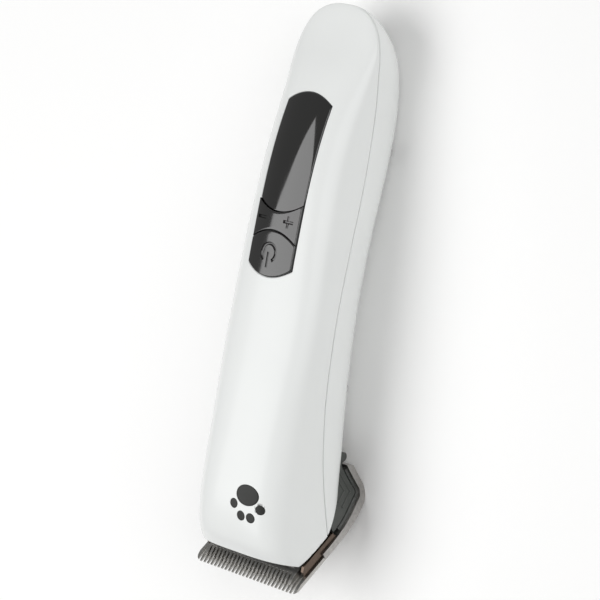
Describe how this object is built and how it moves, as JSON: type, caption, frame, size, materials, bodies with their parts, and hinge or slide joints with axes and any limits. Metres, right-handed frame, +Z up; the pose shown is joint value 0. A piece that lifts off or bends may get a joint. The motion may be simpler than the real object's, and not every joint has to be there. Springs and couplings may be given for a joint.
{
  "type": "cordless pet clipper",
  "caption": "Cordless pet hair clipper: curved two-shell grip, window with rocker and power key, and a tilting clip-on blade set with a sliding cutter.",
  "frame": {"origin": "centre of the footprint on the surface that the clipper lies on, back down", "axes": "+Y from the blade end to the tail, +Z up through the face, +X across the blade"},
  "size_m": [0.042, 0.1724, 0.0421],
  "materials": {
    "white_gloss": "high gloss moulded ABS",
    "window_black": "smoked gloss acrylic",
    "key_black": "gloss black",
    "inner_black": "matt",
    "inner_grey": "matt",
    "collar_grey": "satin dark grey",
    "silver_plastic": "satin silver paint",
    "blade_steel": "ground steel",
    "bracket_steel": "rolled steel",
    "bright_steel": "bright",
    "badge_black": "printed inlay",
    "board_green": "solder mask",
    "plunger_white": "moulded nylon",
    "light_clear": "clear epoxy",
    "bronze": "sintered bronze",
    "magnet_grey": "ferrite",
    "copper": "enamelled copper and steel",
    "cell_blue": "heat-shrink sleeve",
    "lead_red": "insulated wire",
    "lead_black": "insulated wire",
    "seal_rubber": "moulded rubber",
    "jack_black": "moulded nylon"
  },
  "bodies": {
    "housing": {"front_shell": "white_gloss", "rear_shell": "white_gloss", "shell_screws": "bright_steel", "window_lens": "window_black", "panel_tray": "inner_black", "paw_badge": "badge_black", "control_board": "board_green", "switch_bodies": "inner_black", "charge_lights": "light_clear", "chassis": "inner_grey", "motor_can": "bright_steel", "motor_cap": "inner_black", "motor_bushings": "bronze", "motor_magnets": "magnet_grey", "battery_cell": "cell_blue", "cell_tabs": "bright_steel", "charge_jack": "jack_black", "jack_pin": "bright_steel", "motor_leads": "lead_red", "cell_leads": "lead_black", "jack_leads": "lead_red", "nose_plate": "inner_grey", "dust_seal": "seal_rubber", "neck_collar": "collar_grey", "hinge_pin": "bright_steel"},
    "rotor": {"armature": "copper", "motor_shaft": "bright_steel", "eccentric_cam": "plunger_white", "drive_pin": "bright_steel"},
    "blade_set": {"blade_base": "silver_plastic", "base_trim": "collar_grey", "comb_plate": "blade_steel", "comb_screws": "bright_steel", "comb_nuts": "bright_steel", "blade_bracket": "bracket_steel", "tension_spring": "bright_steel"},
    "cutter_set": {"cutter": "blade_steel", "drive_fork": "jack_black"},
    "power_button": {"power_key": "key_black"},
    "rocker": {"speed_rocker": "key_black"},
    "power_contact": {"power_plunger": "plunger_white"},
    "minus_contact": {"minus_plunger": "plunger_white"},
    "plus_contact": {"plus_plunger": "plunger_white"}
  },
  "joints": [
    {"name": "motor_spin", "type": "hinge", "parent": "housing", "child": "rotor", "pos_m": [0, -0.04648, 0.02478], "axis": [0, 0.9977, -0.0676], "continuous": true},
    {"name": "head_tilt", "type": "hinge", "parent": "housing", "child": "blade_set", "pos_m": [0, -0.04761, 0.00818], "axis": [1, 0, 0], "range_deg": [0, 30]},
    {"name": "cutter_slide", "type": "slide", "parent": "blade_set", "child": "cutter_set", "axis": [1, 0, 0], "range_m": [-0.0011, 0.0011]},
    {"name": "power_press", "type": "slide", "parent": "housing", "child": "power_button", "axis": [0, -0.0676, -0.9977], "range_m": [0, 0.0004], "stiffness_N_per_m": 2000, "springref_m": -0.0005},
    {"name": "speed_tilt", "type": "hinge", "parent": "housing", "child": "rocker", "pos_m": [0, 0.02145, 0.03477], "axis": [0, 0.9977, -0.0676], "range_deg": [-2.5, 2.5], "stiffness_Nm_per_rad": 0.08},
    {"name": "power_plunge", "type": "slide", "parent": "housing", "child": "power_contact", "axis": [0, -0.0676, -0.9977], "range_m": [0, 0.0004]},
    {"name": "minus_plunge", "type": "slide", "parent": "housing", "child": "minus_contact", "axis": [0, -0.0676, -0.9977], "range_m": [-0.0002, 0.0002]},
    {"name": "plus_plunge", "type": "slide", "parent": "housing", "child": "plus_contact", "axis": [0, -0.0676, -0.9977], "range_m": [-0.0002, 0.0002]}
  ],
  "couplings": [
    {"joint": "power_plunge", "follows": "power_press", "ratio": 1},
    {"joint": "minus_plunge", "follows": "speed_tilt", "m_per_rad": -0.0043},
    {"joint": "plus_plunge", "follows": "speed_tilt", "m_per_rad": 0.0043}
  ]
}
